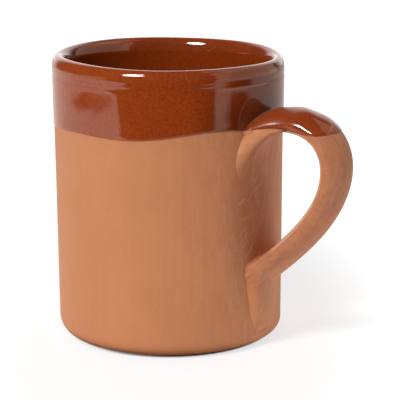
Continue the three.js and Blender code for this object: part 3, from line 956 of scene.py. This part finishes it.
def white_table():
    """A matt white table top that keeps the mug's soft shadow.

    The camera sees it white all over, with a brown line of shade under the foot. The glaze mirrors it warm
    and dim, with its dark places, and it throws some light on the mug from the right.
    """
    material, tree, output = new_material("white_table")
    path = add_node(tree, "ShaderNodeLightPath")
    seen, mirrored, lighting = (path.outputs[f"Is {kind} Ray"] for kind in ("Camera", "Glossy", "Diffuse"))
    spot = add_node(tree, "ShaderNodeTexCoord").outputs["Object"]
    wander = add_node(tree, NOISE, {"Vector": spot, "Scale": per_mm(UNEVEN["size"]), "Detail": 1.0})
    shift = add_node(tree, VECTOR_MATH, {0: wander.outputs["Color"], 1: (0.5,) * 3}, operation="SUBTRACT")
    place = add_node(tree, VECTOR_MATH, {
        0: shift, 1: (UNEVEN["reach"],) * 3, 2: spot}, operation="MULTIPLY_ADD")
    ahead, aside, seen_ahead, seen_aside = (
        add_node(tree, VECTOR_MATH, {0: point, 1: way}, operation="DOT_PRODUCT").outputs["Value"]
        for point in (place, spot) for way in (TOWARDS_CAMERA, TO_THE_RIGHT)
    )
    distance, from_axis = (
        add_node(tree, VECTOR_MATH, {0: point}, operation="LENGTH").outputs["Value"]
        for point in (place, spot)
    )
    bearing = add_node(tree, MATH, {0: aside, 1: ahead}, operation="ARCTAN2")

    dark = dark_places(tree, bearing, distance, ahead, aside)
    # painted contact shade on the table close round the foot, as the mug sees it
    contact_shade = add_node(tree, MAP_RANGE, {
        "Value": from_axis, "From Min": CONTACT_SHADE[0], "From Max": CONTACT_SHADE[1], "To Min": 1.0, "To Max": 0.0})
    shaded = add_node(tree, MATH, {0: dark, 1: contact_shade}, operation="MAXIMUM")
    colour = linear(FLOOR_COLOURS["white"])
    for share, other in ((shaded, "dark"), (seen, "seen")):
        colour = add_node(tree, "ShaderNodeMix", {
            0: share, "A": colour, "B": linear(FLOOR_COLOURS[other])}, data_type="RGBA")
    top = add_node(tree, "ShaderNodeBsdfDiffuse", {"Color": colour})

    shallow = add_node(tree, MATH, {0: seen_ahead, 1: FLOOR_GLOW["depth"]}, operation="MULTIPLY")
    flattened = add_node(tree, "ShaderNodeCombineXYZ", {0: seen_aside, 1: shallow})
    from_mug = add_node(tree, VECTOR_MATH, {0: flattened}, operation="LENGTH").outputs["Value"]
    white = add_node(tree, MAP_RANGE, {
        "Value": from_mug, "From Min": FLOOR_GLOW["distances"][0], "From Max": FLOOR_GLOW["distances"][1],
        "To Min": FLOOR_GLOW["near"], "To Max": FLOOR_GLOW["far"]}, interpolation_type="SMOOTHSTEP")
    lowest = add_node(tree, MAP_RANGE, {
        "Value": bearing, "From Min": math.radians(UNDER_FOOT["bearings"][0]),
        "From Max": math.radians(UNDER_FOOT["bearings"][1]),
        "To Min": UNDER_FOOT["left"], "To Max": UNDER_FOOT["right"]})
    open_share = add_node(tree, MAP_RANGE, {
        "Value": from_axis, "From Min": UNDER_FOOT["radius"][0], "From Max": UNDER_FOOT["radius"][1],
        "To Min": lowest, "To Max": 1.0})
    white = add_node(tree, MATH, {0: white, 1: open_share}, operation="MULTIPLY")

    pale = add_node(tree, MAP_RANGE, {
        "Value": bearing, "From Min": -MIRROR_SWING, "From Max": MIRROR_SWING,
        "To Min": MIRROR_GLOW[0], "To Max": MIRROR_GLOW[1]})
    clear = add_node(tree, MATH, {0: mirrored, 1: dark}, operation="SUBTRACT", use_clamp=True)
    pale = add_node(tree, MATH, {0: pale, 1: clear}, operation="MULTIPLY")

    right = add_node(tree, MAP_RANGE, {
        "Value": bearing, "From Min": math.radians(BOUNCE_BEARINGS[0]),
        "From Max": math.radians(BOUNCE_BEARINGS[1]), "To Min": 0.0, "To Max": BOUNCE})
    apart = add_node(tree, MATH, {0: 1.0, 1: contact_shade}, operation="SUBTRACT")
    right = add_node(tree, MATH, {0: right, 1: apart}, operation="MULTIPLY")

    strength = pale
    for ray_kind, level in ((lighting, right), (seen, white)):
        strength = add_node(tree, MATH, {0: level, 1: ray_kind, 2: strength}, operation="MULTIPLY_ADD")
    tint = linear(FLOOR_COLOURS["under_foot"])
    for share, other in ((open_share, "#FFFFFF"), (mirrored, WARM)):
        tint = add_node(tree, "ShaderNodeMix", {0: share, "A": tint, "B": linear(other)}, data_type="RGBA")
    glow = add_node(tree, "ShaderNodeEmission", {"Color": tint, "Strength": strength})
    both = add_node(tree, "ShaderNodeAddShader", {0: top, 1: glow})
    tree.links.new(both.outputs[0], output.inputs["Surface"])
    return material


def lay_floor():
    """One wide flat square of table."""
    half = FLOOR_SIZE / 2
    corners = [(-half, -half, 0), (half, -half, 0), (half, half, 0), (-half, half, 0)]
    mesh = bpy.data.meshes.new("floor")
    mesh.from_pydata(corners, [], [(0, 1, 2, 3)])
    mesh.materials.append(white_table())
    floor = bpy.data.objects.new("floor", mesh)
    bpy.context.scene.collection.objects.link(floor)


lay_floor()


# Light

STUDIO_DARK = 0.09
BACKDROP = 1.5
BACKDROP_EDGE = (0.22, 0.52)  # how far a direction points away from the camera, where the backdrop begins
BACKDROP_TOP = (0.58, 0.78)  # how far it points up, where the backdrop ends
BACKDROP_SIDES = (0.45, 0.65)  # how far it points aside, where the glaze no longer mirrors it


def softbox(name, bearing, distance, height, tilt, size, strength, colour="#FFFFFF", card=True):
    """An area light that faces the mug's axis.

    Its bearing and its tilt down are in degrees, and its distance, height and size in metres. Its strength
    is the brightness of its face, where 1 is white. A card is a rectangle that only shows in reflections.
    """
    lamp = bpy.data.lights.new(name, "AREA")
    lamp.shape = "RECTANGLE" if card else "ELLIPSE"
    lamp.size, lamp.size_y = size
    area = size[0] * size[1] * (1 if card else math.pi / 4)
    lamp.energy = strength * math.pi * area
    lamp.color = linear(colour)[:3]
    turn = math.radians(CAMERA_TURN + bearing)
    box = bpy.data.objects.new(name, lamp)
    box.matrix_world = (
        Matrix.Translation((distance * math.sin(turn), -distance * math.cos(turn), height))
        @ Matrix.Rotation(turn, 4, "Z")
        @ Matrix.Rotation(math.radians(90 - tilt), 4, "X")
    )
    box.visible_camera = False
    box.visible_diffuse = not card
    bpy.context.scene.collection.objects.link(box)


def studio_world():
    """A dark studio with a white backdrop behind the mug. The camera sees white all over."""
    world = bpy.data.worlds.new("studio")
    world.use_nodes = True
    tree = world.node_tree
    tree.nodes.clear()
    output = tree.nodes.new("ShaderNodeOutputWorld")
    path = add_node(tree, "ShaderNodeLightPath")
    seen, mirrored = (path.outputs[f"Is {kind} Ray"] for kind in ("Camera", "Glossy"))
    way = add_node(tree, "ShaderNodeTexCoord").outputs["Generated"]
    up = add_node(tree, "ShaderNodeSeparateXYZ", {0: way}).outputs["Z"]
    ahead, aside = (
        add_node(tree, VECTOR_MATH, {0: way, 1: axis}, operation="DOT_PRODUCT").outputs["Value"]
        for axis in (TOWARDS_CAMERA, TO_THE_RIGHT)
    )
    away = add_node(tree, MATH, {0: ahead, 1: -1.0}, operation="MULTIPLY")
    either_side = add_node(tree, MATH, {0: aside}, operation="ABSOLUTE")
    behind, below, less = (
        add_node(tree, MAP_RANGE, {
            "Value": value, "From Min": start, "From Max": stop, "To Min": first, "To Max": last})
        for value, (start, stop), first, last in (
            (away, BACKDROP_EDGE, 0.0, 1.0),
            (up, BACKDROP_TOP, 1.0, 0.0),
            (either_side, BACKDROP_SIDES, 0.0, -1.0),
        )
    )
    sides = add_node(tree, MATH, {0: less, 1: mirrored, 2: 1.0}, operation="MULTIPLY_ADD")
    white = behind
    for share in (below, sides):
        white = add_node(tree, MATH, {0: white, 1: share}, operation="MULTIPLY")
    studio = add_node(tree, MAP_RANGE, {"Value": white, "To Min": STUDIO_DARK, "To Max": BACKDROP})
    level = add_node(tree, "ShaderNodeMix", {0: seen, "A": studio, "B": 1.0})
    sky = add_node(tree, "ShaderNodeBackground", {"Color": linear("#FFFFFF"), "Strength": level})
    tree.links.new(sky.outputs[0], output.inputs["Surface"])
    bpy.context.scene.world = world


softbox(
    "key_light", bearing=-37, distance=0.93, height=0.875, tilt=40, size=(0.42, 0.36), strength=33.0,
    card=False)
softbox(
    "right_strip", bearing=53.5, distance=0.38, height=0.25, tilt=0, size=(0.1, 0.5), strength=0.40,
    colour="#FFBD95")
softbox(
    "right_wall", bearing=90.5, distance=0.75, height=0.5, tilt=0, size=(1.37, 1.0), strength=0.9,
    colour=WARM)
softbox(
    "top_card", bearing=95, distance=0.45, height=0.75, tilt=60, size=(0.5, 0.4), strength=0.95,
    colour=WARM)
studio_world()

bpy.context.scene.view_settings.view_transform = "Standard"
